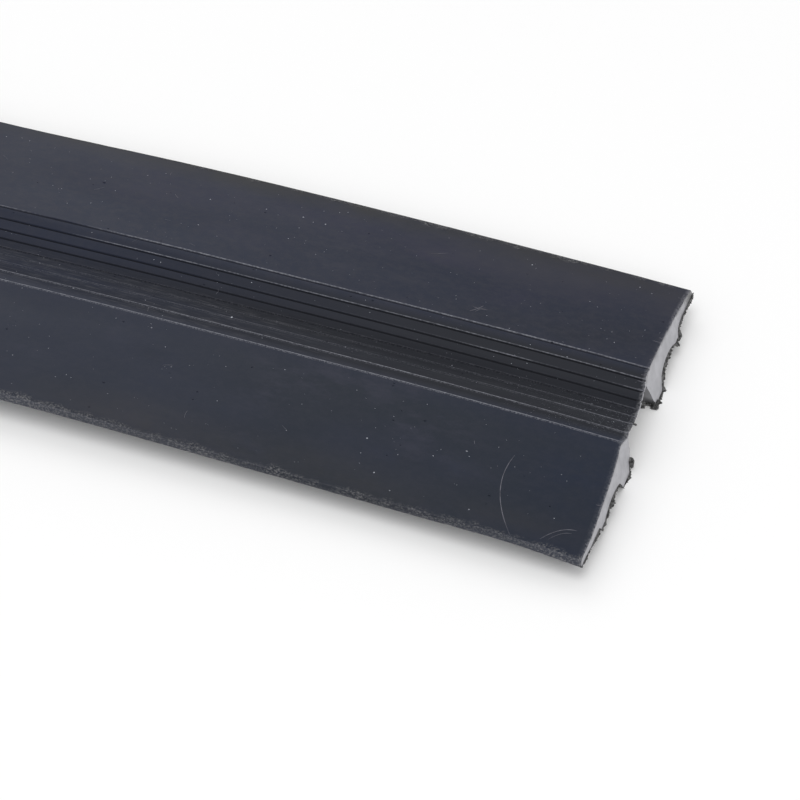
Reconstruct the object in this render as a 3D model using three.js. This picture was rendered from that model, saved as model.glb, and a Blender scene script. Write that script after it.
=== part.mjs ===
// Floor cord cover: one extruded length of dark rubber that lies over a cord on a floor.
// Millimetres, +Z up. X runs along the length, Y across it, and the floor is at Z = 0.
// The origin is on the floor, under the middle of the strip. The slant-cut end is at +X.
import * as THREE from 'three';

// Overall size
const LENGTH = 1000;
const WIDTH = 83;
const HEIGHT = 8.8;

// Wings: each half has taken a set, so its thin outer edge stands a little above the floor
const EDGE_LIFT = 4.2;
const EDGE_THICKNESS = 1.5;
const EDGE_SLANT = 0.3;

// Ribbed zone on top: grooves on a shallow valley, spacings counted outwards from the middle one
const GROOVE_SPACINGS = [2.5, 2.45, 3.05, 3.2];
const GROOVE_MOUTH = 0.6;
const GROOVE_FLOOR = 0.3;
const GROOVE_DEPTH = 0.5;
const VALLEY_DEPTH = 1.35;

// Cord channel, open to the floor, under the thin web that carries the grooves
const WEB_THICKNESS = 1.25;
const CHANNEL_MOUTH = 20.5;
const CHANNEL_ROOF = 16;
const CHANNEL_WALL_BULGE = 0.15;

// Underside of each wing, from the channel outwards: land, hollow, land, shallow hollow
const INNER_LAND = 4.7;
const INNER_STEP_RUN = 1.6;
const INNER_STEP_RISE = 2.6;
const HOLLOW_WIDTH = 10.7;
const HOLLOW_DEPTH = 1.15;
const OUTER_LAND = 2.1;
const OUTER_LAND_HEIGHT = 2.55;
const OUTER_STEP_RUN = 1.25;
const OUTER_STEP_RISE = 1.45;

// The +X end was sawn off by hand: the cut leans back from the floor up, more so on the +Y side
const CUT_LEAN_AT_MINUS_Y = 5.5;
const CUT_LEAN_AT_PLUS_Y = 21.5;

const CURVE_STEPS = 6;

const rubber = new THREE.MeshStandardMaterial({ color: 0x2b2d33, roughness: 0.55, metalness: 0 });

const point = (y, z) => new THREE.Vector2(y, z);

// Distance of each groove on one side from the middle of the strip, nearest first
function grooveOffsets() {
  let offset = 0;
  return GROOVE_SPACINGS.map((spacing) => (offset += spacing));
}

const RIM_OFFSET = grooveOffsets().at(-1) + GROOVE_MOUTH / 2;

// Height of the valley's surface between the two rims, before the grooves are taken out of it
const valleyHeight = (y) => HEIGHT - VALLEY_DEPTH * (1 - Math.abs(y) / RIM_OFFSET);

// A groove is a small trapezium sunk into the valley's surface
function grooveOutline(centre) {
  const floorHeight = valleyHeight(centre) - GROOVE_DEPTH;
  return [
    point(centre - GROOVE_MOUTH / 2, valleyHeight(centre - GROOVE_MOUTH / 2)),
    point(centre - GROOVE_FLOOR / 2, floorHeight),
    point(centre + GROOVE_FLOOR / 2, floorHeight),
    point(centre + GROOVE_MOUTH / 2, valleyHeight(centre + GROOVE_MOUTH / 2)),
  ];
}

// Points of a curve from start to end that bows by the given amount at its middle, ends left out
function bowedPoints(start, end, bow) {
  const middle = start.clone().add(end).multiplyScalar(0.5);
  const control = middle.add(bow.clone().multiplyScalar(2));
  const curve = new THREE.QuadraticBezierCurve(start, control, end);
  return curve.getPoints(CURVE_STEPS).slice(1, -1);
}

// Channel roof and wall on the +Y side, from the middle of the roof down to the mouth
function channelOutline() {
  const roofCorner = point(CHANNEL_ROOF / 2, valleyHeight(CHANNEL_ROOF / 2) - WEB_THICKNESS);
  const mouthCorner = point(CHANNEL_MOUTH / 2, 0);
  return [
    point(0, valleyHeight(0) - WEB_THICKNESS),
    roofCorner,
    ...bowedPoints(roofCorner, mouthCorner, point(-CHANNEL_WALL_BULGE, 0)),
    mouthCorner,
  ];
}

// Underside of the +Y wing, from the channel's mouth out to the lifted edge
function undersideOutline() {
  const landEnd = point(CHANNEL_MOUTH / 2 + INNER_LAND, 0);
  const hollowStart = landEnd.clone().add(point(INNER_STEP_RUN, INNER_STEP_RISE));
  const outerLandStart = point(hollowStart.x + HOLLOW_WIDTH, OUTER_LAND_HEIGHT);
  const outerLandEnd = outerLandStart.clone().add(point(OUTER_LAND, 0));
  const outerHollowStart = outerLandEnd.clone().add(point(OUTER_STEP_RUN, OUTER_STEP_RISE));
  return [
    landEnd,
    hollowStart,
    ...bowedPoints(hollowStart, outerLandStart, point(0, HOLLOW_DEPTH)),
    outerLandStart,
    outerLandEnd,
    outerHollowStart,
    point(WIDTH / 2, EDGE_LIFT),
  ];
}

// The half outline on the +Y side, clockwise from the middle of the valley to the channel's roof
function halfOutline() {
  const middleGroove = grooveOutline(0).slice(2);
  const grooves = grooveOffsets().flatMap((offset) => grooveOutline(offset));
  const edgeTop = point(WIDTH / 2 - EDGE_SLANT, EDGE_LIFT + EDGE_THICKNESS);
  const upper = [...middleGroove, ...grooves, edgeTop];
  const lower = [...channelOutline(), ...undersideOutline()].reverse();
  return [...upper, ...lower];
}

// The whole section: the half outline and its mirror image, joined on the middle line
function stripSection() {
  const half = halfOutline();
  const mirrored = half.slice(0, -1).map(({ x, y }) => point(-x, y)).reverse();
  return new THREE.Shape([...half, ...mirrored]);
}

function makeStrip() {
  const geometry = new THREE.ExtrudeGeometry(stripSection(), { depth: LENGTH, bevelEnabled: false });
  const acrossToY = new THREE.Vector3(0, 1, 0);
  const upToZ = new THREE.Vector3(0, 0, 1);
  const alongToX = new THREE.Vector3(1, 0, 0);
  geometry.applyMatrix4(new THREE.Matrix4().makeBasis(acrossToY, upToZ, alongToX));
  geometry.translate(-LENGTH / 2, 0, 0);
  leanCutEnd(geometry);
  return new THREE.Mesh(geometry, rubber);
}

// Lays the +X end face back, by the slope of the saw cut at each place across the strip
function leanCutEnd(geometry) {
  const slopeAt = (degrees) => Math.tan(THREE.MathUtils.degToRad(degrees));
  const places = geometry.attributes.position;
  for (let i = 0; i < places.count; i += 1) {
    const across = places.getY(i) / WIDTH + 0.5;
    const slope = THREE.MathUtils.lerp(slopeAt(CUT_LEAN_AT_MINUS_Y), slopeAt(CUT_LEAN_AT_PLUS_Y), across);
    if (places.getX(i) > 0) places.setX(i, LENGTH / 2 - places.getZ(i) * slope);
  }
  geometry.computeVertexNormals();
}

const coverStrip = makeStrip();
coverStrip.name = 'cover_strip';

const cordCover = new THREE.Group();
cordCover.add(coverStrip);

export default cordCover;
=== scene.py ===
"""Looks of the floor cord cover: one dark rubber strip with a hand-sawn end.

Sizes are in millimetres unless a name says otherwise, and MM turns them into Blender's metres.
The strip lies along X with its sawn end at +X, Y runs across it, and the floor is at Z = 0.
"""

import math
from typing import NamedTuple

import bpy
import numpy as np
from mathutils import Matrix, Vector, geometry, noise


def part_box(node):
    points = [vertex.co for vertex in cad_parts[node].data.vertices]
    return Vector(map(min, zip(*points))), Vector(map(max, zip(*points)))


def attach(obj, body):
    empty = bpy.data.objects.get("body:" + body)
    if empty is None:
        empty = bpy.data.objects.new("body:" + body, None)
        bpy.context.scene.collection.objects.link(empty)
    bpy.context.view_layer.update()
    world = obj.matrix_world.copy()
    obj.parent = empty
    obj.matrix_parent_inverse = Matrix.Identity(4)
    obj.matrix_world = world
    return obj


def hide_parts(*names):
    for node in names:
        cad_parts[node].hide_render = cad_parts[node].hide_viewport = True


MM = 0.001
NODE = "cover_strip"
BODY = "root"
SEED = 41

# Camera, from the perspective of the strip's long edges and grooves in the photograph
CAMERA_AZIMUTH = 20.9
CAMERA_ELEVATION = 44.3
CAMERA_DISTANCE = 481.0
CAMERA_LENS = 103.5
TARGET_FROM_CUT = -51.0
TARGET_ACROSS = -7.6

# Heights half way between the top and the underside, at the outer edges and over the channel
EDGE_MIDDLE_HEIGHT = 4.9
WEB_MIDDLE_HEIGHT = 6.6
WEB_SLOPE = 0.117
CHANNEL_HALF_WIDTH = 10.3

# Set that the rubber has taken, as swells: distance from the cut, half length and size. The strip
# strays sideways a little, and the outer part of each wing rises and falls.
SIDEWAYS_SWELLS = [(50, 32, 0.3), (165, 40, -1.2), (0, 12, -0.35)]
PLUS_Y_WING_SWELLS = [(110, 75, 1.35)]
MINUS_Y_WING_SWELLS = [(130, 60, 1.0), (20, 13, 0.3), (0, 7, -0.6)]
STEADY_HALF_WIDTH = 15.0

# Rounding of the section's corners, the reach of a corner's looks, and the section's longest side
LIP_RADIUS = 0.12
SHARP_CORNER = math.radians(20)
FILLET_STEPS = 2
FILLET_SHARE = 0.3
SHOULDER = 0.09
LONGEST_SIDE = 1.9

# Stations along the length: close together near the sawn end, wider beyond
NEAR_STATION_STEP = 2.2
FAR_STATION_STEP = 7.0
CLOSE_STRETCH = 380.0
CUT_BLEND = 9.0
BLEND_SHARES = (0.35, 0.65, 0.85, 0.95, 1.0)

# Unevenness of the moulded surface, and the worn band along the two outer edges
WAVE_HEIGHT = 0.07
WAVE_LENGTH = 45.0
WAVE_SQUEEZE = 2.5
LIP_JITTER = 0.05
LIP_JITTER_LENGTH = 5.0
NOSE_BAND = 1.8
NOSE_WEAR = 0.2
NOSE_NICK = 0.12
NOSE_NICK_LENGTH = 3.1


class GrooveLook(NamedTuple):
    """Shares from 0 to 1: wear and painted highlight of the +Y lip, black dirt with painted shade and
    pale dust inside, and how full it is.
    """

    lip_highlight_and_wear: float
    inner_dirt_and_shade: float
    dust: float
    filled: float


# Grooves from -Y to +Y: dusty and nearly full on the -Y side, open, dirty and darkened by painted
# shade on the +Y side
GROOVES = [
    GrooveLook(1.0, 0.0, 0.45, 0.8),
    GrooveLook(0.75, 0.0, 0.3, 0.8),
    GrooveLook(0.45, 0.0, 0.22, 0.85),
    GrooveLook(0.12, 0.1, 0.12, 0.8),
    GrooveLook(0.06, 0.4, 0.1, 0.5),
    GrooveLook(0.06, 0.8, 0.0, 0.3),
    GrooveLook(0.12, 0.9, 0.0, 0.25),
    GrooveLook(0.85, 0.8, 0.0, 0.25),
    GrooveLook(1.0, 0.5, 0.0, 0.35),
]

# Where a groove's lip is paler or darker, from wear and painted highlight: groove, distance from the
# cut, half length and change
LIP_STRETCHES = [(0, 100, 50, 0.3), (1, 110, 45, 0.2), (2, 8, 10, 0.35), (2, 48, 20, -0.45)]
LIP_STRETCHES += [(2, 130, 40, -0.35), (3, 6, 12, 0.35), (4, 4, 6, 0.2), (6, 33, 7, 0.8)]
LIP_STRETCHES += [(6, 3, 5, 0.5), (6, 122, 20, -0.3), (7, 142, 14, -0.9), (8, 85, 14, 0.3)]
LIP_STRETCHES += [(8, 140, 14, -0.9)]
# Share of a lip's paleness: its wear and a painted highlight
LIP_PALE_SHARE = 0.9
LIP_PATCHINESS = 0.5
LIP_PATCH = 28.0

# Unevenness of the saw cut: a slow bow and sway across the strip, a ripple, and a -Y tip set back
CUT_BOW = 0.29
CUT_SWAY = 7.3
CUT_RIPPLE = 0.07
CUT_RIPPLE_LENGTH = 1.7
TIP_SETBACK = 0.2
TIP_STRETCH = (-35.0, -40.0)

# Grid of the points inside the two end faces, how far they are shaken off it, and clear of the rim
CAP_GRID = 0.55
CAP_SHAKE = 0.12
CAP_CLEARANCE = 0.4 * CAP_GRID

# The web is torn: ragged, undercut, and pushed out or in by swells across the strip
WEB_LOWEST = 5.0
WEB_STRETCH = (9.5, 7.0)
WEB_RAGGEDNESS = 0.3
WEB_TEAR_LENGTH = 1.1
WEB_UNDERCUT = 1.0
UNDERCUT_FADES = [(10.0, 3.0), (-9.5, -4.0)]
WEB_SWELLS = [(2.6, 4.0, 0.75), (-4.4, 2.8, 0.75), (-9.3, 1.4, 0.35), (-12.5, 1.3, -0.3)]
WEB_SWELL_HEIGHTS = (1.0, 7.0)

# Dark burr of torn rubber that the saw pushed out along the lower edge of the cut
BURR_STEP = 0.27
BURR_REACH = 0.7
BURR_LEAST = 0.16
BURR_JAG = 0.19
BURR_WAVE = 3.6
BURR_WAVE_RAISE = 0.25
BURR_RIPPLE = 0.9
BURR_TIP_LEAST = 0.05
BURR_OUT = 0.1
BURR_OUT_SHARE = 0.35
BURR_FOOT = 0.5
BURR_HEEL = 0.03
BURR_SKIN = 0.04
CHANNEL_BURR_SHARE = 0.25
CHANNEL_BURR_FOOT = 0.8
FLOOR_CLEARANCE = 0.03
HEEL_CLEARANCE = 0.01

# The channel's walls were cut clean, so the burr stays inside the rubber there
CLEAN_WALL_ENDS = (-4.5, 5.5)
CLEAN_WALL_FOOT = 1.4
BURR_BURIED = 0.8
BURR_SUNK = -0.12

# Where the burr stands out further: distance across, half width and reach
BURR_FLAPS = [(29.6, 0.7, 0.4), (27.2, 0.8, 0.4), (22.0, 2.6, 0.5), (15.1, 0.5, 0.6), (11.2, 1.2, 0.3)]
BURR_FLAPS += [(-12.0, 1.6, 0.1), (-24.0, 2.8, 0.35), (-27.6, 1.2, 0.2), (-32.6, 1.7, 0.4)]

# How far the burr covers the cut's face above its lower edge
BURR_COVER = 0.14
BURR_COVER_AT_TIP = 0.7
TIP_COVER_STRETCH = (29.0, 34.0)

# Lumps of torn rubber on the burr: (ahead of the cut, y, z) and half sizes along X, Y and Z
BURR_LUMPS = [
    ((0.35, -9.5, 2.0), (0.65, 0.5, 1.2)),
    ((-0.2, 9.4, 0.3), (0.9, 0.6, 0.3)),
    ((-1.7, 9.7, 0.2), (0.5, 0.3, 0.2)),
    ((0.15, 10.8, 0.35), (0.5, 0.7, 0.35)),
    ((1.05, 3.2, 6.1), (0.8, 0.3, 0.9)),
    ((0.15, -4.5, 7.85), (0.5, 0.2, 0.15)),
]
LUMP_STEPS = (-1.0, -0.35, 0.35, 1.0)
LUMP_ROUGHNESS = (0.75, 1.25)
LUMP_ROUNDING = 0.45
CRUMB_ROUGHNESS = (0.65, 1.35)

# Scratches on the top as curves: start, control and end as (from the cut, across), and a width
SCRATCHES = [
    ((-21.1, -21.7), (-23.6, -31.0), (-15.4, -41.0), 0.15),
    ((-9.8, -39.5), (-6.9, -35.0), (-3.6, -34.9), 0.14),
    ((-8.4, -39.2), (-6.6, -36.2), (-4.4, -35.9), 0.08),
    ((-43.8, 14.6), (-42.4, 15.8), (-41.6, 17.4), 0.19),
    ((-43.6, 16.3), (-42.2, 15.9), (-40.4, 16.4), 0.17),
    ((-42.6, 14.8), (-42.1, 16.0), (-40.9, 17.0), 0.14),
    ((-58.5, 30.4), (-56.6, 31.0), (-54.8, 32.2), 0.1),
]
SCRATCH_STEPS = 18
SCRATCH_LIFT = 0.025
SCRATCH_TAPER = 6.0
SCRATCH_TIP = 0.2
SCRATCH_ROUGHNESS = (0.75, 1.2)

# Faint short scuffs all over the top
SCUFFS = 110
SCUFF_LENGTH = (0.8, 2.6)
SCUFF_WIDTH = (0.05, 0.09)
SCUFF_BEND = 0.3

# Short pale frays that run in from the top edge of the cut: distances across, and lengths
FRAYS = [(38.6, 0.9), (37.4, 1.6), (33.0, 0.8), (28.3, 0.6), (22.1, 0.9), (20.6, 1.9), (14.4, 0.7)]
FRAYS += [(9.4, 1.3), (8.3, 0.7), (7.2, 1.8), (6.4, 1.1), (5.3, 1.5), (-27.6, 1.3), (-37.4, 0.7)]
FRAY_WIDTH = 0.15
FRAY_SWAY = 0.25

# Paleness just behind the top edge of the cut, in full over the web and by the +Y tip
RIM_FRAY = 0.55
RIM_FRAY_LEAST = 0.25
FRAYED_TIP = (24.0, 30.0)
FRAYED_WEB = (13.0, 10.0)

# Soft clouds on the slopes: places as (from the cut, across), with half sizes along X and Y
LILAC_SPOTS = [((78, 33), (34, 7)), ((122, 30), (26, 10)), ((52, 33), (16, 7)), ((24, 33), (17, 9))]
LILAC_SPOTS += [((99, 21), (14, 5)), ((36, 23), (9, 5)), ((57, 30), (7, 3)), ((44, 31), (19, 5))]
DUSTY_SPOTS = [((30, 35), (42, 9)), ((14, 38), (26, 8)), ((4, 36), (8, 13)), ((95, -37), (20, 6))]
DUSTY_SPOTS += [((34, 34), (22, 8)), ((36, 36), (22, 7)), ((60, 20), (6, 1.6)), ((57, 31), (4, 1.5))]
SMOKED_SPOTS = [((13, 20), (24, 9)), ((32, 14), (26, 6))]
BLUE_SPOTS = [((6, -22), (26, 17)), ((10, -40), (18, 7)), ((120, 14), (38, 11)), ((143, 17), (30, 9))]
GREY_SPOTS = [((92, -38), (42, 8)), ((50, -38), (34, 8)), ((14, -37), (16, 5))]
HAZY_SPOTS = [((108, -22), (30, 12)), ((45, -30), (22, 10)), ((87, -30), (22, 8)), ((31, -29), (8, 4))]

# Specks of dust on the top. The plainest ones are placed one by one, as (from the cut, across).
MARKED_SPECKS = [(30.7, 23.1), (32.3, 21.2), (13.7, 19.9), (16.2, 20.0), (34.0, 12.2), (126.1, 31.1)]
MARKED_SPECKS += [(109.5, 20.7), (104.0, 18.4), (89.2, 23.5), (97.9, 31.6), (83.6, 31.4), (81.5, 20.5)]
MARKED_SPECKS += [(139.4, 27.8), (132.4, -1.3), (111.9, 6.3), (20.0, 8.6), (12.7, 37.5), (9.7, 36.4)]
MARKED_SPECK_SIZE = (0.13, 0.19)
SPECK_FLATNESS = 0.5
SPECKS = 3000
SPECK_SIZE = (0.045, 0.12)
FINE_SPECK_SIZE = (0.025, 0.055)
BIG_SPECK_SHARE = 0.09
BIG_SPECK_SCALE = 1.9

# A patch of fine specks in the -Y side's grooves, closer together towards the cut
DUSTY_PATCH_SPECKS = 330
DUSTY_PATCH_LENGTH = 26.0
DUSTY_PATCH_CLEAR = 0.3
DUSTY_PATCH_CROWDING = 1.6
DUSTY_PATCH_ACROSS = (-11.0, 0.5)

# Pimples in the skin, longer than wide
PIMPLES = 420
PIMPLE_SIZE = (0.12, 0.27)
PIMPLE_LENGTH = 1.2
PIMPLE_HEIGHT = 0.7

# How far scattered marks stay from the square end, the cut and the outer edges
CLEAR_OF_SQUARE_END = 1.0
CLEAR_OF_CUT = 4.0
CLEAR_OF_EDGES = 3.0

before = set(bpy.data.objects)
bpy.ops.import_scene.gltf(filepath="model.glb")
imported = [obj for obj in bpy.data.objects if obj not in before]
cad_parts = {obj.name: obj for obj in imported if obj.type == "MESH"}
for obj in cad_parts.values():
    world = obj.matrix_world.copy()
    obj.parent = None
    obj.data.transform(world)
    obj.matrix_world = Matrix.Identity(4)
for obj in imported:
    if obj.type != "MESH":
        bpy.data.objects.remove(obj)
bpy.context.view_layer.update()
strip_low, strip_high = (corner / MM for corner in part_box(NODE))
rng = np.random.default_rng(SEED)


class SectionPoint(NamedTuple):
    """A point of the strip's section, with its looks as shares from 0 to 1."""

    y: float
    z: float
    # A lip's wear share also paints its highlight.
    wear_and_highlight: float = 0.0
    # The grooves' dirt share also paints the shade inside them.
    dirt_and_shade: float = 0.0
    dusty: float = 0.0
    groove: int = -1

    def towards(self, other, share):
        y = self.y + (other.y - self.y) * share
        z = self.z + (other.z - self.z) * share
        return SectionPoint(y, z)


def wave(x, y, z, length):
    """Smooth noise from about -1 to 1, with waves of the given length."""
    return noise.noise(Vector((x, y, z)) / length)


def smooth_step(low, high, value):
    share = min(1.0, max(0.0, (value - low) / (high - low)))
    return share * share * (3 - 2 * share)


def swelling(at, swells):
    """Sum of smooth swells, each given as its place, half width and size."""
    return sum(size * math.exp(-(((at - place) / width) ** 2)) for place, width, size in swells)


def bent(x, y, z):
    """Where a place on the straight strip is after the rubber has taken its set."""
    from_cut = strip_high.x - x
    outwards = max(0.0, (abs(y) - STEADY_HALF_WIDTH) / (strip_high.y - STEADY_HALF_WIDTH))
    rise = swelling(from_cut, PLUS_Y_WING_SWELLS if y > 0 else MINUS_Y_WING_SWELLS)
    return x, y + swelling(from_cut, SIDEWAYS_SWELLS), z + rise * outwards


def add_mesh(name, points, faces, material, smooth=False):
    """A mesh object from points in millimetres on the straight strip, riding on its body."""
    mesh = bpy.data.meshes.new(name)
    mesh.from_pydata([tuple(MM * c for c in bent(*point)) for point in points], [], faces)
    mesh.validate()
    mesh.materials.append(material)
    mesh.polygons.foreach_set("use_smooth", [smooth] * len(mesh.polygons))
    piece = bpy.data.objects.new(name, mesh)
    bpy.context.scene.collection.objects.link(piece)
    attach(piece, BODY)
    return piece


def joined(parts):
    """One list of points and one of faces from several pairs of them."""
    points, faces = [], []
    for part_points, part_faces in parts:
        start = len(points)
        points.extend(part_points)
        faces.extend(tuple(start + i for i in face) for face in part_faces)
    return points, faces


# Section of the strip, read from the CAD node's square end

def cap_outline():
    """The square end's outline as (y, z) points, anticlockwise seen from +X."""
    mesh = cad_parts[NODE].data
    sides = set()
    for polygon in mesh.polygons:
        corners = [tuple(round(c / MM, 4) for c in mesh.vertices[i].co) for i in polygon.vertices]
        if all(abs(x - strip_low.x) < 0.01 for x, _, _ in corners):
            sides.update(zip(corners, corners[1:] + corners[:1]))
    rim = {a: b for a, b in sides if (b, a) not in sides}
    loop = [min(rim)]
    while rim[loop[-1]] != loop[0]:
        loop.append(rim[loop[-1]])
    outline = [Vector((y, z)) for _, y, z in loop]
    return outline if enclosed_area(outline) > 0 else outline[::-1]


def enclosed_area(outline):
    following = outline[1:] + outline[:1]
    return sum(a.x * b.y - b.x * a.y for a, b in zip(outline, following)) / 2


def is_top(y, z):
    """True for places on the strip's top rather than on its underside."""
    if abs(y) > CHANNEL_HALF_WIDTH:
        return z > EDGE_MIDDLE_HEIGHT
    return z > WEB_MIDDLE_HEIGHT + WEB_SLOPE * abs(y)


def turn_at(outline, i):
    """Angle by which the outline turns at a point, above zero where it bulges."""
    into = outline[i] - outline[i - 1]
    out = outline[(i + 1) % len(outline)] - outline[i]
    return math.atan2(into.x * out.y - into.y * out.x, into.dot(out))


def groove_floors(outline):
    """Pairs of the outline's points at the grooves' floors, from -Y to +Y."""
    sunk = [i for i, p in enumerate(outline) if is_top(*p) and turn_at(outline, i) < -SHARP_CORNER]
    sunk.sort(key=lambda i: outline[i].x)
    return list(zip(sunk[::2], sunk[1::2]))


def fill_grooves(outline, floors):
    """Raises the floors of the grooves by the dirt and dust that lies in them."""
    for look, (low_side, high_side) in zip(GROOVES, floors):
        left, right = outline[low_side], outline[high_side]
        depth = (outline[low_side + 1].y + outline[high_side - 1].y - left.y - right.y) / 2
        left.y += depth * look.filled
        right.y += depth * look.filled


def corner_looks(outline, i, floors):
    """Looks of a sharp corner as keyword arguments of a section point."""
    corner = outline[i]
    if not is_top(*corner):
        return {}
    if strip_high.y - abs(corner.x) < NOSE_BAND:
        return {"wear_and_highlight": NOSE_WEAR}
    groove = min(range(len(floors)), key=lambda g: abs(outline[floors[g][0]].x - corner.x))
    look = GROOVES[groove]
    is_high_lip = i == floors[groove][1] - 1
    if i in floors[groove] or is_high_lip:
        wear_and_highlight = look.lip_highlight_and_wear if is_high_lip else 0.0
        dirt_and_shade = 0.0 if is_high_lip else look.inner_dirt_and_shade
        return {"wear_and_highlight": wear_and_highlight, "dirt_and_shade": dirt_and_shade, "dusty": look.dust, "groove": groove}
    return {}


def rounded_section(outline):
    """The outline with its grooves part filled and its sharp corners rounded, as section points."""
    floors = groove_floors(outline)
    fill_grooves(outline, floors)
    section = []
    for i, corner in enumerate(outline):
        turn = turn_at(outline, i)
        if abs(turn) < SHARP_CORNER:
            section.append(SectionPoint(*corner))
            continue
        into, out = corner - outline[i - 1], outline[(i + 1) % len(outline)] - corner
        longest_reach = FILLET_SHARE * min(into.length, out.length)
        reach = min(LIP_RADIUS * math.tan(abs(turn) / 2), longest_reach)
        start = corner - into.normalized() * reach
        end = corner + out.normalized() * reach
        for step in range(FILLET_STEPS + 1):
            t = step / FILLET_STEPS
            place = start.lerp(corner, t).lerp(corner.lerp(end, t), t)
            section.append(SectionPoint(*place, **corner_looks(outline, i, floors)))
    return section


def divided_section(section):
    """Splits the section's sides, so that looks end near their corners and the skin can wave."""
    divided = []
    for point, following in zip(section, section[1:] + section[:1]):
        divided.append(point)
        length = math.hypot(following.y - point.y, following.z - point.z)
        if length > 3 * SHOULDER:
            parts = max(1, math.ceil(length / LONGEST_SIDE))
            shares = [SHOULDER / length, *(k / parts for k in range(1, parts))]
            divided.extend(point.towards(following, share) for share in shares)
            divided.append(point.towards(following, 1 - SHOULDER / length))
    return divided


def top_height(section):
    """A function that gives the height of the strip's top at a distance across."""
    top = sorted((p.y, p.z) for p in section if is_top(p.y, p.z))
    across, height = np.array(top).T
    return lambda y: float(np.interp(y, across, height))


# Shape of the saw cut

def fitted_cut():
    """The CAD cut's slope at the middle of the strip, and its change per millimetre across."""
    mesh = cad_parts[NODE].data
    leaning = [v.co / MM for v in mesh.vertices if v.co.x > 0 and v.co.z > MM]
    slopes = [(strip_high.x - place.x) / place.z for place in leaning]
    change, middle = np.polyfit([place.y for place in leaning], slopes, 1)
    return middle, change


def cut_x(y, z):
    """Where the saw cut meets the place (y, z) of the section."""
    across = y / (strip_high.y - strip_low.y)
    lean = (CUT_SLOPE + CUT_SLOPE_CHANGE * y) * z
    bow = (4 * CUT_BOW + CUT_SWAY * across) * (across * across - 0.25)
    ripple = CUT_RIPPLE * wave(3, y, z, CUT_RIPPLE_LENGTH)
    strays = swelling(y, WEB_SWELLS) * smooth_step(*WEB_SWELL_HEIGHTS, z)
    strays -= TIP_SETBACK * smooth_step(*TIP_STRETCH, y)
    return strip_high.x - lean + bow + ripple + strays + web_tear(y, z)


def web_tear(y, z):
    """How far the torn web stands out from the saw cut, below zero where it is undercut."""
    if z <= WEB_LOWEST:
        return 0.0
    torn = WEB_RAGGEDNESS * wave(9, y, z, WEB_TEAR_LENGTH)
    web_top = strip_high.z - WEB_SLOPE * (CHANNEL_HALF_WIDTH - abs(y))
    undercut = WEB_UNDERCUT * max(0.0, web_top - z)
    for fade in UNDERCUT_FADES:
        undercut *= smooth_step(*fade, y)
    return smooth_step(*WEB_STRETCH, abs(y)) * (torn - undercut)


# Skin

def stations():
    """Distances along X from the square end to where the skin starts to lean into the cut."""
    last = strip_high.x - CUT_BLEND
    change = last - CLOSE_STRETCH
    wide_count = round((change - strip_low.x) / FAR_STATION_STEP)
    wide = np.linspace(strip_low.x, change, wide_count, endpoint=False)
    return [*wide, *np.linspace(change, last, round(CLOSE_STRETCH / NEAR_STATION_STEP))]


def surface_wave(x, y):
    return WAVE_HEIGHT * wave(x, y * WAVE_SQUEEZE, 7, WAVE_LENGTH)


def uneven(x, point):
    """A section point's (y, z) at x, moved by the unevenness of a moulded and worn skin."""
    from_edge = strip_high.y - abs(point.y)
    if from_edge < NOSE_BAND:
        nick = NOSE_NICK * max(0.0, wave(x, point.y, point.z, NOSE_NICK_LENGTH))
        depth = nick * (1 - from_edge / NOSE_BAND)
        return point.y - math.copysign(depth, point.y), point.z + surface_wave(x, point.y)
    if not is_top(point.y, point.z):
        return point.y, point.z
    jitter = LIP_JITTER * point.wear_and_highlight * wave(x, point.y * 9, 1, LIP_JITTER_LENGTH)
    return point.y, point.z + surface_wave(x, point.y) + jitter


def lip_wear_and_highlight(x, point):
    """Wear and painted highlight of a lip, which come and go along the strip."""
    if point.wear_and_highlight == 0:
        return 0.0
    patches = LIP_PATCHINESS * wave(x, 40 * point.groove, 2, LIP_PATCH)
    patchy = point.wear_and_highlight * (LIP_PALE_SHARE + patches)
    from_cut = strip_high.x - x
    stretches = [stretch[1:] for stretch in LIP_STRETCHES if stretch[0] == point.groove]
    return min(1.0, max(0.0, patchy + swelling(from_cut, stretches)))


def skin_rows(section):
    """Rows of the skin's points from the square end to the saw cut."""
    rows = [[(x, *uneven(x, point)) for point in section] for x in stations()]
    last = rows[-1]
    for share in BLEND_SHARES:
        rows.append([(x + (cut_x(y, z) - x) * share, y, z) for x, y, z in last])
    return rows


def skin_faces(around, row_count):
    faces = []
    for start in range(0, (row_count - 1) * around, around):
        for i in range(around):
            a, b = start + i, start + (i + 1) % around
            faces.append((a, b, b + around, a + around))
    return faces


def clear_inside(point, outline):
    """True if the point is inside the outline and not too close to it."""
    inside = False
    for a, b in zip(outline, outline[1:] + outline[:1]):
        side = b - a
        share = max(0.0, min(1.0, (point - a).dot(side) / side.length_squared))
        if (a + side * share - point).length < CAP_CLEARANCE:
            return False
        crosses = (a.y > point.y) != (b.y > point.y)
        if crosses and point.x < a.x + (point.y - a.y) / (b.y - a.y) * (b.x - a.x):
            inside = not inside
    return inside


def cap_triangles(section):
    """Inner points and triangles that fill the section. The section's own points come first."""
    outline = [Vector((p.y, p.z)) for p in section]
    inner = []
    for y in np.arange(strip_low.y, strip_high.y, CAP_GRID):
        for z in np.arange(strip_low.z, strip_high.z, CAP_GRID):
            place = Vector((y, z)) + Vector(rng.uniform(-CAP_SHAKE, CAP_SHAKE, 2))
            if clear_inside(place, outline):
                inner.append(place)
    edges = [(i, (i + 1) % len(outline)) for i in range(len(outline))]
    points, _, triangles, *_ = geometry.delaunay_2d_cdt(outline + inner, edges, [], 1, 1e-5)
    return points[len(outline):], triangles


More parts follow.
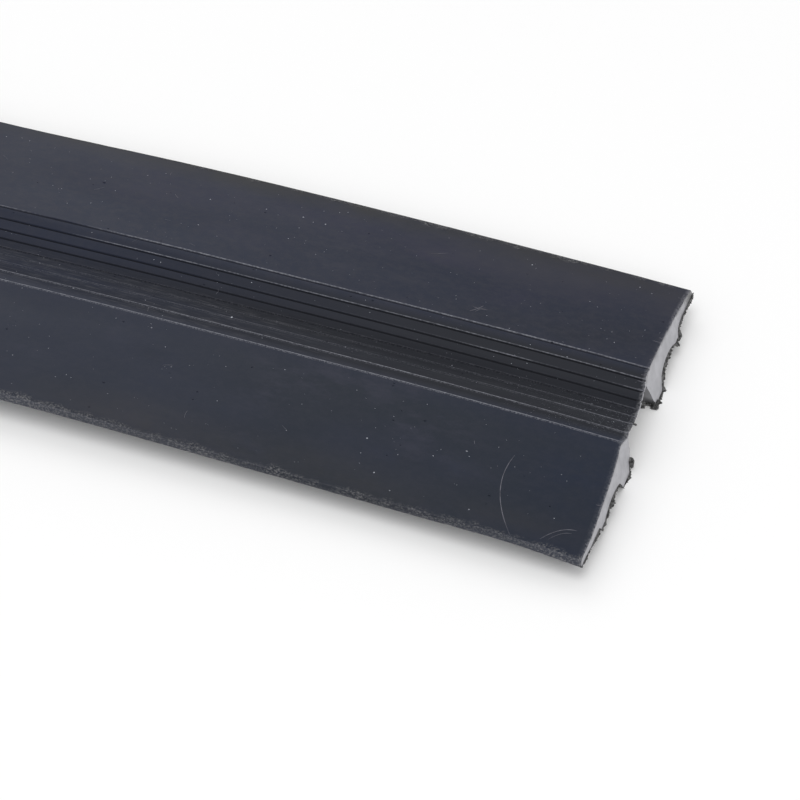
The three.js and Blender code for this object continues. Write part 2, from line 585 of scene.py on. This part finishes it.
def add_cap(points, inner, first_of_row, around, x_at):
    """Adds a cap's inner points, and returns the number that each of its points has there."""
    numbers = list(range(first_of_row, first_of_row + around))
    numbers.extend(range(len(points), len(points) + len(inner)))
    points.extend((x_at(p.x, p.y), p.x, p.y) for p in inner)
    return numbers


def set_attribute(mesh, name, values, domain="POINT", kind="FLOAT"):
    padding = [0.0] * (len(mesh.vertices) - len(values)) if domain == "POINT" else []
    layer = mesh.attributes.new(name, kind, domain)
    layer.data.foreach_set("value", [*values, *padding])


def keep_rims_sharp(mesh, first_cap_face):
    """Keeps the rims of both ends crisp where the skin is shaded smooth."""
    skin_edges, cap_edges = set(), set()
    for polygon in mesh.polygons:
        (skin_edges if polygon.index < first_cap_face else cap_edges).update(polygon.edge_keys)
    sharp = skin_edges & cap_edges
    flags = [tuple(sorted(edge.vertices)) in sharp for edge in mesh.edges]
    set_attribute(mesh, "sharp_edge", flags, "EDGE", "BOOLEAN")


def fray_share(y):
    """How frayed the top edge of the cut is: most over the web and by the +Y tip."""
    return max(RIM_FRAY_LEAST, smooth_step(*FRAYED_TIP, y), smooth_step(*FRAYED_WEB, abs(y)))


def make_skin(section, materials):
    rows = skin_rows(section)
    around = len(section)
    points = [point for row in rows for point in row]
    faces = skin_faces(around, len(rows))
    inner, triangles = cap_triangles(section)
    sawn = add_cap(points, inner, (len(rows) - 1) * around, around, cut_x)
    square = add_cap(points, inner, 0, around, lambda y, z: strip_low.x)
    first_cap_face = len(faces)
    faces += [tuple(sawn[i] for i in triangle) for triangle in triangles]
    faces += [tuple(square[i] for i in reversed(triangle)) for triangle in triangles]
    skin = add_mesh("cover_skin", points, faces, materials["rubber"], smooth=True)
    mesh = skin.data
    mesh.materials.append(materials["cut"])
    for polygon in mesh.polygons[first_cap_face:]:
        polygon.material_index = 1
        polygon.use_smooth = False
    mark_skin(mesh, section, rows)
    keep_rims_sharp(mesh, first_cap_face)
    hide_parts(NODE)


def mark_skin(mesh, section, rows):
    """Gives the skin's points the shares that its material paints wear with painted highlight, dirt
    with painted shade, and dust by.
    """
    rim = [float(is_top(p.y, p.z)) for p in section]
    behind_rim = [RIM_FRAY * share * fray_share(p.y) for share, p in zip(rim, section)]
    unfrayed = [0.0] * len(section) * (len(rows) - 2)
    wear_and_highlight = [lip_wear_and_highlight(place[0], point) for row in rows for place, point in zip(row, section)]
    set_attribute(mesh, "wear_and_highlight", wear_and_highlight)
    set_attribute(mesh, "dirt_and_shade", [p.dirt_and_shade for p in section] * len(rows))
    set_attribute(mesh, "dusty", [p.dusty for p in section] * len(rows))
    set_attribute(mesh, "under", [1.0 - top for top in rim] * len(rows))
    set_attribute(mesh, "cut_rim", unfrayed + behind_rim + rim)


# Burr along the lower edge of the cut

def lower_path(section):
    """Points (y, z) along the lower edge of the cut from -Y to +Y, each with its way outwards."""
    lower = sorted((p.y, p.z) for p in section if not is_top(p.y, p.z))
    path = []
    for start, end in zip(lower, lower[1:]):
        start, end = Vector(start), Vector(end)
        side = end - start
        if side.length < 1e-6:
            continue
        outwards = Vector((side.y, -side.x)).normalized()
        steps = max(1, round(side.length / BURR_STEP))
        path.extend((start.lerp(end, k / steps), outwards) for k in range(steps))
    return path


def burr_ring(place, outwards, travelled):
    """Three corners of the burr's section: on the cut's face, at its tip, and behind the edge."""
    y, z = place
    in_channel = abs(y) < CHANNEL_HALF_WIDTH
    swell = BURR_REACH * max(0.0, wave(travelled, 11, 5, BURR_WAVE) + BURR_WAVE_RAISE)
    swell += swelling(y, BURR_FLAPS)
    swell *= CHANNEL_BURR_SHARE if in_channel and z > CHANNEL_BURR_FOOT else 1.0
    jag = rng.uniform(-BURR_JAG, BURR_JAG)
    ahead = BURR_LEAST + swell * (0.8 + 0.6 * wave(travelled, 2, 8, BURR_RIPPLE)) + jag
    out = BURR_OUT + BURR_OUT_SHARE * swell + rng.uniform(-0.5, 0.5) * BURR_JAG
    heel = BURR_HEEL
    face = cut_x(y, z)
    in_web = CLEAN_WALL_ENDS[0] < y < CLEAN_WALL_ENDS[1]
    if in_channel and z > CLEAN_WALL_FOOT and not in_web:
        face -= BURR_BURIED
        out = heel = BURR_SUNK
    cover = BURR_COVER + (BURR_COVER_AT_TIP - BURR_COVER) * smooth_step(*TIP_COVER_STRETCH, y)
    on_face = (face + BURR_SKIN, y - outwards.x * cover, z - outwards.y * cover)
    tip_x = face + max(BURR_TIP_LEAST, ahead)
    tip = (tip_x, y + outwards.x * out, max(FLOOR_CLEARANCE, z + outwards.y * out))
    behind = (face - BURR_FOOT, y + outwards.x * heel, max(HEEL_CLEARANCE, z + outwards.y * heel))
    return [on_face, tip, behind]


def burr_ribbon(section):
    points, faces = [], []
    travelled = 0.0
    previous = None
    for place, outwards in lower_path(section):
        travelled += (place - previous).length if previous else 0.0
        previous = place
        points.extend(burr_ring(place, outwards, travelled))
    for start in range(0, len(points) - 3, 3):
        for i in range(3):
            a, b = start + i, start + (i + 1) % 3
            faces.append((a, b, b + 3, a + 3))
    last = len(points) - 1
    faces += [(2, 1, 0), (last - 2, last - 1, last)]
    return points, faces


OCTAHEDRON = [(1, 0, 0), (0, 1, 0), (-1, 0, 0), (0, -1, 0), (0, 0, 1), (0, 0, -1)]
OCTAHEDRON_TOP = [(0, 1, 4), (1, 2, 4), (2, 3, 4), (3, 0, 4)]
OCTAHEDRON_BOTTOM = [(1, 0, 5), (2, 1, 5), (3, 2, 5), (0, 3, 5)]


def crumb(centre, half_sizes):
    """A small uneven octahedron."""
    points = []
    for direction in OCTAHEDRON:
        reach = rng.uniform(*CRUMB_ROUGHNESS)
        points.append(tuple(c + reach * d * h for c, d, h in zip(centre, direction, half_sizes)))
    return points, OCTAHEDRON_TOP + OCTAHEDRON_BOTTOM


def lump(centre, half_sizes):
    """A rough block with dented faces, which never reaches below the floor."""
    grid = range(len(LUMP_STEPS))
    shell = [(i, j, k) for i in grid for j in grid for k in grid]
    shell = [key for key in shell if 0 in key or 3 in key]
    number = {key: i for i, key in enumerate(shell)}
    points = []
    for key in shell:
        direction = Vector([LUMP_STEPS[c] for c in key])
        reach = rng.uniform(*LUMP_ROUGHNESS) / max(1.0, direction.length ** LUMP_ROUNDING)
        x, y, z = (c + reach * d * h for c, d, h in zip(centre, direction, half_sizes))
        points.append((x, y, max(FLOOR_CLEARANCE, z)))
    faces = []
    for axis in range(3):
        for level in (0, 3):
            faces.extend(block_side(number, axis, level))
    return points, faces


def block_side(number, axis, level):
    """The nine quads of one side of a block of 4 by 4 by 4 points."""
    quads = []
    for u in range(3):
        for v in range(3):
            keys = [[u, v], [u + 1, v], [u + 1, v + 1], [u, v + 1]]
            for key in keys:
                key.insert(axis, level)
            corners = [number[tuple(key)] for key in keys]
            inwards = (level == 0) != (axis == 1)
            quads.append(corners[::-1] if inwards else corners)
    return quads


def make_burr(section, material):
    parts = [burr_ribbon(section)]
    for (ahead, y, z), half_sizes in BURR_LUMPS:
        parts.append(lump((cut_x(y, z) + ahead, y, z), half_sizes))
    add_mesh("cut_burr", *joined(parts), material)


# Marks on the top

def on_top(height_at, x, y, lift=0.0):
    return (x, y, height_at(y) + surface_wave(x, y) + lift)


def ribbon(centres, widths):
    """A flat ribbon along points on the top, with a width at each of them."""
    points, faces = [], []
    for i, (centre, width) in enumerate(zip(centres, widths)):
        along = Vector(centres[min(i + 1, len(centres) - 1)]) - Vector(centres[max(i - 1, 0)])
        aside = Vector((-along.y, along.x, 0)).normalized() * width / 2
        points.append(tuple(Vector(centre) + aside))
        points.append(tuple(Vector(centre) - aside))
    for i in range(0, len(points) - 2, 2):
        faces.append((i, i + 1, i + 3, i + 2))
    return points, faces


def scratch(height_at, start, control, end, width):
    """A curved scratch that fades in and out, as a thin ribbon on the top."""
    start, control, end = Vector(start), Vector(control), Vector(end)
    centres, widths = [], []
    for step in range(SCRATCH_STEPS + 1):
        t = step / SCRATCH_STEPS
        place = start.lerp(control, t).lerp(control.lerp(end, t), t)
        centres.append(on_top(height_at, strip_high.x + place.x, place.y, SCRATCH_LIFT))
        taper = min(1.0, SCRATCH_TIP + SCRATCH_TAPER * min(t, 1 - t))
        widths.append(width * taper * rng.uniform(*SCRATCH_ROUGHNESS))
    return ribbon(centres, widths)


def fray(height_at, y, length):
    """A short pale nick that runs in from the top edge of the cut."""
    edge = cut_x(y, height_at(y)) - strip_high.x
    sway = rng.uniform(-FRAY_SWAY, FRAY_SWAY)
    control, end = (edge - length / 2, y + sway), (edge - length, y + sway)
    return scratch(height_at, (edge, y), control, end, FRAY_WIDTH)


def scuff(height_at, place):
    """A faint short stroke in any direction from a place on the top."""
    start = Vector((place[0] - strip_high.x, place[1]))
    angle = rng.uniform(0, math.tau)
    end = start + rng.uniform(*SCUFF_LENGTH) * Vector((math.cos(angle), math.sin(angle)))
    control = start.lerp(end, 0.5) + Vector(rng.uniform(-SCUFF_BEND, SCUFF_BEND, 2))
    return scratch(height_at, start, control, end, rng.uniform(*SCUFF_WIDTH))


def make_scratches(height_at, material):
    parts = [scratch(height_at, *curve) for curve in SCRATCHES]
    parts += [fray(height_at, y, length) for y, length in FRAYS]
    parts += [scuff(height_at, place) for place in scattered(height_at, SCUFFS)]
    add_mesh("scratches", *joined(parts), material)


def scattered(height_at, count):
    """Random places on the top, clear of the strip's edges and ends."""
    places = []
    for _ in range(count):
        x = rng.uniform(strip_low.x + CLEAR_OF_SQUARE_END, strip_high.x - CLEAR_OF_CUT)
        y = rng.uniform(strip_low.y + CLEAR_OF_EDGES, strip_high.y - CLEAR_OF_EDGES)
        places.append(on_top(height_at, x, y))
    return places


def dusty_patch(height_at):
    """Places in the -Y side's grooves, closer together towards the cut."""
    places = []
    for _ in range(DUSTY_PATCH_SPECKS):
        y = rng.uniform(*DUSTY_PATCH_ACROSS)
        from_cut = DUSTY_PATCH_CLEAR + DUSTY_PATCH_LENGTH * rng.random() ** DUSTY_PATCH_CROWDING
        places.append(on_top(height_at, cut_x(y, height_at(y)) - from_cut, y))
    return places


def speck(place, size):
    return crumb(place, (size, size, size * SPECK_FLATNESS))


def make_specks(height_at, material):
    parts = []
    for place in scattered(height_at, SPECKS):
        size = rng.uniform(*SPECK_SIZE)
        if rng.random() < BIG_SPECK_SHARE:
            size *= BIG_SPECK_SCALE
        parts.append(speck(place, size))
    for from_cut, y in MARKED_SPECKS:
        place = on_top(height_at, strip_high.x - from_cut, y)
        parts.append(speck(place, rng.uniform(*MARKED_SPECK_SIZE)))
    for place in dusty_patch(height_at):
        parts.append(speck(place, rng.uniform(*FINE_SPECK_SIZE)))
    add_mesh("dust_specks", *joined(parts), material)


def make_pimples(height_at, material):
    parts = []
    for place in scattered(height_at, PIMPLES):
        size = rng.uniform(*PIMPLE_SIZE)
        parts.append(crumb(place, (size * PIMPLE_LENGTH, size, size * PIMPLE_HEIGHT)))
    add_mesh("skin_pimples", *joined(parts), material, smooth=True)


# Materials

class Shader:
    """A material's node tree while it is being built."""

    def __init__(self, name):
        self.material = bpy.data.materials.new(name)
        self.material.use_nodes = True
        self.tree = self.material.node_tree
        self.surface = self.tree.nodes["Principled BSDF"]
        self.place = self.tree.nodes.new("ShaderNodeTexCoord").outputs["Object"]

    def feed(self, socket, value):
        if isinstance(value, bpy.types.NodeSocket):
            self.tree.links.new(value, socket)
        else:
            socket.default_value = value

    def node(self, kind, **inputs):
        made = self.tree.nodes.new(kind)
        for name, value in inputs.items():
            self.feed(made.inputs[name.replace("_", " ")], value)
        return made

    def attribute(self, name):
        made = self.tree.nodes.new("ShaderNodeAttribute")
        made.attribute_name = name
        return made.outputs["Fac"]

    def axis(self, name):
        """Distance along X, Y or Z in metres."""
        return self.node("ShaderNodeSeparateXYZ", Vector=self.place).outputs[name]

    def away_from(self, across, distance):
        """Metres sideways from the line along the strip that lies at a distance across."""
        return self.math("ABSOLUTE", self.math("ADD", across, -distance * MM))

    def near_cut(self, far, near, to_far=0.0, to_near=1.0):
        """Share that changes along the strip, between a far and a near distance from the cut."""
        start, end = (strip_high.x - far) * MM, (strip_high.x - near) * MM
        return self.spread(self.axis("X"), start, end, to_far, to_near)

    def noise(self, size, detail=3.0, roughness=0.5, stretch=(1, 1, 1)):
        """Noise from 0 to 1 with features of about a size in millimetres, stretched along X, Y, Z."""
        mapping = self.node("ShaderNodeMapping", Vector=self.place, Scale=[1 / s for s in stretch])
        made = self.node("ShaderNodeTexNoise", Vector=mapping.outputs["Vector"])
        made.inputs["Scale"].default_value = 1 / (size * MM)
        made.inputs["Detail"].default_value = detail
        made.inputs["Roughness"].default_value = roughness
        return made.outputs["Fac"]

    def spot(self, centre, half_sizes):
        """Share from 1 at a place (from the cut, across) down to 0 at the ends of its half sizes."""
        scale = [1 / (half * MM) for half in half_sizes]
        place = ((strip_high.x - centre[0]) * MM, centre[1] * MM)
        location = [-p * k for p, k in zip(place, scale)]
        limits = {"Location": (*location, 0), "Scale": (*scale, 0)}
        mapping = self.node("ShaderNodeMapping", Vector=self.place, **limits)
        made = self.node("ShaderNodeTexGradient", Vector=mapping.outputs["Vector"])
        made.gradient_type = "SPHERICAL"
        return made.outputs["Fac"]

    def spread(self, value, low, high, to_low=0.0, to_high=1.0):
        limits = {"From_Min": low, "From_Max": high, "To_Min": to_low, "To_Max": to_high}
        return self.node("ShaderNodeMapRange", Value=value, **limits).outputs["Result"]

    def math(self, operation, a, b=0.0):
        made = self.tree.nodes.new("ShaderNodeMath")
        made.operation = operation
        self.feed(made.inputs[0], a)
        self.feed(made.inputs[1], b)
        return made.outputs[0]

    def times(self, *factors):
        product = factors[0]
        for factor in factors[1:]:
            product = self.math("MULTIPLY", product, factor)
        return product

    def mix(self, share, a, b):
        made = self.tree.nodes.new("ShaderNodeMix")
        made.data_type = "RGBA"
        self.feed(made.inputs["Factor"], share)
        colours = [socket for socket in made.inputs if socket.type == "RGBA"]
        self.feed(colours[0], a)
        self.feed(colours[1], b)
        return next(socket for socket in made.outputs if socket.type == "RGBA")

    def bump(self, height, distance, strength, under=None):
        made = self.node("ShaderNodeBump", Height=height, Distance=distance * MM, Strength=strength)
        if under is not None:
            self.feed(made.inputs["Normal"], under)
        return made.outputs["Normal"]

    def finish(self, base, roughness, normal=None, specular=0.5):
        self.feed(self.surface.inputs["Base Color"], base)
        self.feed(self.surface.inputs["Roughness"], roughness)
        self.surface.inputs["Specular IOR Level"].default_value = specular
        if normal is not None:
            self.feed(self.surface.inputs["Normal"], normal)
        return self.material


def colour(red, green, blue):
    return (red, green, blue, 1.0)


BLUE_BLACK = colour(0.0130, 0.0175, 0.0345)
BROWN_BLACK = colour(0.0142, 0.0172, 0.0335)
NEAR_BLACK = colour(0.0110, 0.0157, 0.0250)
DEEP_BLUE = colour(0.0085, 0.0145, 0.0340)
SMOKED = colour(0.0115, 0.0140, 0.0205)
LILAC = colour(0.0255, 0.0250, 0.0490)
HAZE = colour(0.0180, 0.0225, 0.0420)
DUSTY_LILAC = colour(0.0290, 0.0300, 0.0430)
SMEARED = colour(0.026, 0.028, 0.045)
DUSTY_GREY = colour(0.026, 0.026, 0.027)
RIBBED_GREY = colour(0.0165, 0.0183, 0.0245)
RIBBED_DARK = colour(0.0083, 0.0096, 0.0148)
RIBBED_DRY = colour(0.078, 0.079, 0.088)
# Pale of the dust in the grooves, and of the painted reflection on the outer edges' faces
PALE_DUST_AND_EDGE_REFLECTION = colour(0.19, 0.195, 0.225)
# Pale of the lips: wear, with painted highlight
PALE_LIP_AND_HIGHLIGHT = colour(0.205, 0.21, 0.24)
SCUFFED = colour(0.150, 0.150, 0.156)
# Black of the grooves: dirt, with painted shade
GROOVE_DIRT_AND_SHADE = colour(0.0035, 0.0040, 0.0070)
CHANNEL_GREY = colour(0.25, 0.25, 0.262)
CUT_PALE = colour(0.45, 0.45, 0.478)
CUT_DULL = colour(0.36, 0.36, 0.383)
CUT_RIM = colour(0.15, 0.15, 0.157)
CUT_SOILED = colour(0.14, 0.14, 0.138)
WEB_TORN = colour(0.12, 0.12, 0.125)
BURR_DARK = colour(0.012, 0.012, 0.012)
BURR_GREY = colour(0.13, 0.13, 0.13)
DUST = colour(0.40, 0.42, 0.47)
DUST_DULL = colour(0.12, 0.125, 0.15)
SCRATCH_PALE = colour(0.12, 0.12, 0.145)
SCRATCH_DIM = colour(0.05, 0.05, 0.066)
FLOOR_WHITE = colour(0.95, 0.95, 0.95)
CLOUDS = [(LILAC, 0.6, LILAC_SPOTS), (SMOKED, 0.6, SMOKED_SPOTS), (DEEP_BLUE, 0.8, BLUE_SPOTS)]
CLOUDS += [(HAZE, 0.7, HAZY_SPOTS), (DUSTY_LILAC, 0.85, DUSTY_SPOTS), (DUSTY_GREY, 0.5, GREY_SPOTS)]


def slope_colour(s, across):
    """Blue-black rubber with smears and soft clouds, greyer on the -Y side and by the +Y edge."""
    blotches = s.spread(s.noise(40, 4, 0.6, (2.5, 1, 1)), 0.42, 0.6)
    base = s.mix(blotches, BLUE_BLACK, BROWN_BLACK)
    base = s.mix(s.spread(across, -8 * MM, -16 * MM, 0, 0.8), base, NEAR_BLACK)
    smears = s.spread(s.noise(6, 7, 0.72, (2.2, 1, 1)), 0.5, 0.7)
    smeared_places = s.spread(s.noise(34, 2, 0.5), 0.44, 0.58)
    base = s.mix(s.times(smears, smeared_places), base, SMEARED)
    base = s.mix(s.near_cut(130, 60, 0.5, 0.0), base, HAZE)
    patchy = s.spread(s.noise(9, 6, 0.7, (1.6, 1, 1)), 0.3, 0.62, 0.1, 1.0)
    for tint, share, spots in CLOUDS:
        for place, half_sizes in spots:
            base = s.mix(s.times(s.spot(place, half_sizes), patchy, share), base, tint)
    mottled = s.spread(s.noise(1.6, 5, 0.75, (1.4, 1, 1)), 0.42, 0.66)
    base = s.mix(s.times(mottled, s.spread(across, -10 * MM, 14 * MM, 0.22, 0.5)), base, DUSTY_LILAC)
    by_edge = s.spread(across, 35 * MM, 40.8 * MM)
    edge_dust = s.times(by_edge, s.spread(s.noise(9, 4, 0.6, (3, 1, 1)), 0.3, 0.6))
    return s.mix(edge_dust, base, DUSTY_GREY)


def ribbed_colour(s, base, across, zone):
    """The ribbed zone's grey, dark along the middle, with pale dashes and dots on its -Y side."""
    near_cut = s.near_cut(130, 45, 0.2, 1.0)
    base = s.mix(s.times(zone, near_cut), base, RIBBED_GREY)
    streaks = s.spread(s.noise(1.6, 6, 0.7, (14, 1, 1)), 0.32, 0.62, 0.75, 1.0)
    middle = s.spread(s.away_from(across, -0.8), 4.9 * MM, 1.5 * MM)
    base = s.mix(s.times(middle, streaks, s.math("ADD", near_cut, 0.3)), base, RIBBED_DARK)
    base = s.mix(s.times(zone, s.spread(across, -4.5 * MM, -8 * MM, 0, 0.4)), base, RIBBED_DARK)
    dusty_side = s.times(s.spread(across, 2 * MM, -2 * MM), s.spread(across, -11 * MM, -10 * MM))
    dashes = s.spread(s.noise(0.26, 3, 0.6, (16, 1, 1)), 0.5, 0.68)
    base = s.mix(s.times(dashes, dusty_side, s.near_cut(95, 55, 0.4, 0.1)), base, RIBBED_DRY)
    dots = s.spread(s.noise(0.22, 3, 0.7, (1.5, 1, 1)), 0.56, 0.68)
    return s.mix(s.times(dots, dusty_side, s.near_cut(34, 3, 0.0, 0.35)), base, RIBBED_DRY)


def groove_colour(s, base):
    """Black dirt with painted shade and pale dust in the grooves, and their worn lips with painted
    highlight.
    """
    # Painted shade: the grooves' floors are darkened as if in their own shadow, together with their
    # dirt.
    base = s.mix(s.attribute("dirt_and_shade"), base, GROOVE_DIRT_AND_SHADE)
    dots = s.spread(s.noise(0.35, 3, 0.6), 0.44, 0.6)
    base = s.mix(s.times(s.attribute("dusty"), dots), base, PALE_DUST_AND_EDGE_REFLECTION)
    lip_grain = s.spread(s.noise(0.4, 3, 0.65, (1.6, 1, 1)), 0.4, 0.6, 0.35, 1.0)
    # Painted highlight: the lips are lightened as if catching the light, together with their wear.
    return s.mix(s.times(s.attribute("wear_and_highlight"), lip_grain), base, PALE_LIP_AND_HIGHLIGHT)


def nose_share(s, from_middle):
    """Share from 1 on the worn band along an outer edge down to 0 past its ragged border."""
    ragged = s.math("ADD", from_middle, s.spread(s.noise(4, 3, 0.6), 0.3, 0.7, -0.8 * MM, 0.8 * MM))
    return s.spread(ragged, 40.1 * MM, 41.2 * MM)


def nose_colour(s, base, from_middle, nose):
    """Grainy scuffs on the worn band, and a painted reflection that makes the face of the outer edge
    paler.
    """
    grains = s.spread(s.noise(0.34, 4, 0.75, (1.4, 1, 1)), 0.49, 0.6)
    patches = s.spread(s.noise(16, 3, 0.6), 0.36, 0.56, 0.7, 1.0)
    base = s.mix(s.times(nose, grains, patches), base, SCUFFED)
    # Painted reflection: the outer edge's face is made paler, as if it mirrored the pale surroundings.
    return s.mix(s.spread(from_middle, 41.05 * MM, 41.3 * MM, 0, 0.14), base, PALE_DUST_AND_EDGE_REFLECTION)


def channel_colour(s, base, from_middle):
    """The channel's pale grey, with painted shade darkening it towards the floor."""
    channel = s.times(s.attribute("under"), s.spread(from_middle, 11 * MM, 9 * MM))
    base = s.mix(channel, base, CHANNEL_GREY)
    # Painted shade in the burr's black: the channel is darkened low down, where the floor's contact
    # shade falls.
    low = s.spread(s.axis("Z"), 2.8 * MM, 0.8 * MM)
    painted_floor_shade = s.times(low, s.spread(s.noise(1.5), 0.3, 0.6, 0.35, 0.85))
    return s.mix(s.times(channel, painted_floor_shade), base, BURR_DARK)


def cut_edge_colour(s, base, across):
    """Pale frayed dots along the top edge of the cut, and the web's torn lip by the +Y wall."""
    dots = s.spread(s.noise(0.45, 3, 0.6), 0.4, 0.6, 0.1, 1.0)
    base = s.mix(s.times(s.attribute("cut_rim"), dots, 0.55), base, CUT_DULL)
    by_wall = s.spread(s.away_from(across, 4), 6.5 * MM, 5 * MM, 0, 0.8)
    torn_lip = s.times(s.spread(s.attribute("cut_rim"), 0.72, 0.9), by_wall)
    return s.mix(torn_lip, base, CUT_PALE)


def rubber_material():
    s = Shader("charcoal_rubber")
    across = s.axis("Y")
    from_middle = s.math("ABSOLUTE", across)
    in_ribs = s.spread(from_middle, 11 * MM, 8.8 * MM)
    nose = nose_share(s, from_middle)
    base = ribbed_colour(s, slope_colour(s, across), across, in_ribs)
    base = nose_colour(s, groove_colour(s, base), from_middle, nose)
    base = channel_colour(s, base, from_middle)
    base = cut_edge_colour(s, base, across)
    roughness = s.spread(s.noise(30, 4, 0.6, (3, 1, 1)), 0.35, 0.65, 0.42, 0.56)
    roughness = s.math("ADD", roughness, s.times(in_ribs, 0.25))
    grain = s.bump(s.noise(0.4, 3, 0.6), 0.03, 0.5)
    streaks = s.bump(s.noise(1.4, 3, 0.5, (40, 1, 1)), 0.02, 0.4, grain)
    rough_nose = s.bump(s.times(nose, s.noise(0.6, 4, 0.7)), 0.35, 1.0, streaks)
    return s.finish(base, roughness, rough_nose, specular=0.2)


def cut_material():
    s = Shader("sawn_rubber")
    base = s.mix(s.spread(s.noise(3.5, 4, 0.6), 0.35, 0.65), CUT_PALE, CUT_DULL)
    rim_dots = s.spread(s.noise(0.5, 3, 0.6), 0.35, 0.6, 0.45, 1.0)
    base = s.mix(s.times(s.attribute("cut_rim"), rim_dots), base, CUT_RIM)
    across = s.axis("Y")
    soiled_dots = s.spread(s.noise(0.8, 3, 0.6), 0.35, 0.6, 0.4, 1.0)
    base = s.mix(s.times(s.spread(across, 35.8 * MM, 38.4 * MM), soiled_dots), base, CUT_SOILED)
    base = s.mix(s.spread(s.away_from(across, -2.2), 6.4 * MM, 5.2 * MM, 0, 0.85), base, WEB_TORN)
    marks = s.bump(s.noise(2, 3, 0.6, (1, 1, 6)), 0.12, 0.6)
    return s.finish(base, 0.62, s.bump(s.noise(0.35, 2, 0.6), 0.05, 0.5, marks))


def burr_material():
    s = Shader("torn_rubber")
    return s.finish(s.mix(s.spread(s.noise(0.7, 3, 0.6), 0.43, 0.62), BURR_DARK, BURR_GREY), 0.7)


def dust_material():
    s = Shader("pale_dust")
    return s.finish(s.mix(s.spread(s.noise(9, 2, 0.5), 0.4, 0.55), DUST, DUST_DULL), 0.85)


def scratch_material():
    s = Shader("scratched_rubber")
    return s.finish(s.mix(s.spread(s.noise(2, 3, 0.6), 0.4, 0.65), SCRATCH_PALE, SCRATCH_DIM), 0.7)


def floor_material():
    return Shader("pale_floor").finish(FLOOR_WHITE, 0.9, specular=0.1)


# Floor, lights and camera

FLOOR_REACH_M = 12.0

# Softboxes: place and size in metres, and watts
SOFTBOXES = {
    "back_left_softbox": ((-0.9, 1.5, 1.6), 1.6, 11),
    "overhead_softbox": ((0.3, -0.4, 2.4), 2.0, 17),
    "front_right_fill": ((1.6, -1.4, 1.2), 1.4, 13),
}
LIT_PLACE_M = Vector((0.1, 0.0, 0.0))
STUDIO_STRENGTH = 0.58


def make_floor():
    mesh = bpy.data.meshes.new("floor")
    signs = [(-1, -1), (1, -1), (1, 1), (-1, 1)]
    mesh.from_pydata([(FLOOR_REACH_M * x, FLOOR_REACH_M * y, 0) for x, y in signs], [], [(0, 1, 2, 3)])
    mesh.materials.append(floor_material())
    floor = bpy.data.objects.new("floor", mesh)
    bpy.context.scene.collection.objects.link(floor)


def look_at(thing, target):
    thing.rotation_euler = (target - thing.location).to_track_quat("-Z", "Y").to_euler()


def make_softbox(name, place_m, size_m, watts):
    light = bpy.data.lights.new(name, "AREA")
    light.shape = "DISK"
    light.size = size_m
    light.energy = watts
    lamp = bpy.data.objects.new(name, light)
    lamp.location = place_m
    look_at(lamp, LIT_PLACE_M)
    bpy.context.scene.collection.objects.link(lamp)


def make_lights():
    for name, softbox in SOFTBOXES.items():
        make_softbox(name, *softbox)
    world = bpy.data.worlds.new("studio")
    world.use_nodes = True
    background = world.node_tree.nodes["Background"]
    background.inputs["Color"].default_value = colour(1, 1, 1)
    background.inputs["Strength"].default_value = STUDIO_STRENGTH
    bpy.context.scene.world = world
    bpy.context.scene.view_settings.view_transform = "Standard"


def make_camera():
    data = bpy.data.cameras.new("camera")
    data.lens = CAMERA_LENS
    data.clip_start = 0.01
    camera = bpy.data.objects.new("camera", data)
    azimuth, elevation = math.radians(CAMERA_AZIMUTH), math.radians(CAMERA_ELEVATION)
    level = math.cos(elevation)
    back = Vector((math.sin(azimuth) * level, -math.cos(azimuth) * level, math.sin(elevation)))
    target = Vector((strip_high.x + TARGET_FROM_CUT, TARGET_ACROSS, 0))
    camera.location = (target + back * CAMERA_DISTANCE) * MM
    look_at(camera, target * MM)
    bpy.context.scene.collection.objects.link(camera)
    bpy.context.scene.camera = camera


CUT_SLOPE, CUT_SLOPE_CHANGE = fitted_cut()
strip_section = divided_section(rounded_section(cap_outline()))
height_of_top = top_height(strip_section)
rubber = rubber_material()
make_skin(strip_section, {"rubber": rubber, "cut": cut_material()})
make_burr(strip_section, burr_material())
make_scratches(height_of_top, scratch_material())
make_specks(height_of_top, dust_material())
make_pimples(height_of_top, rubber)
make_floor()
make_lights()
make_camera()
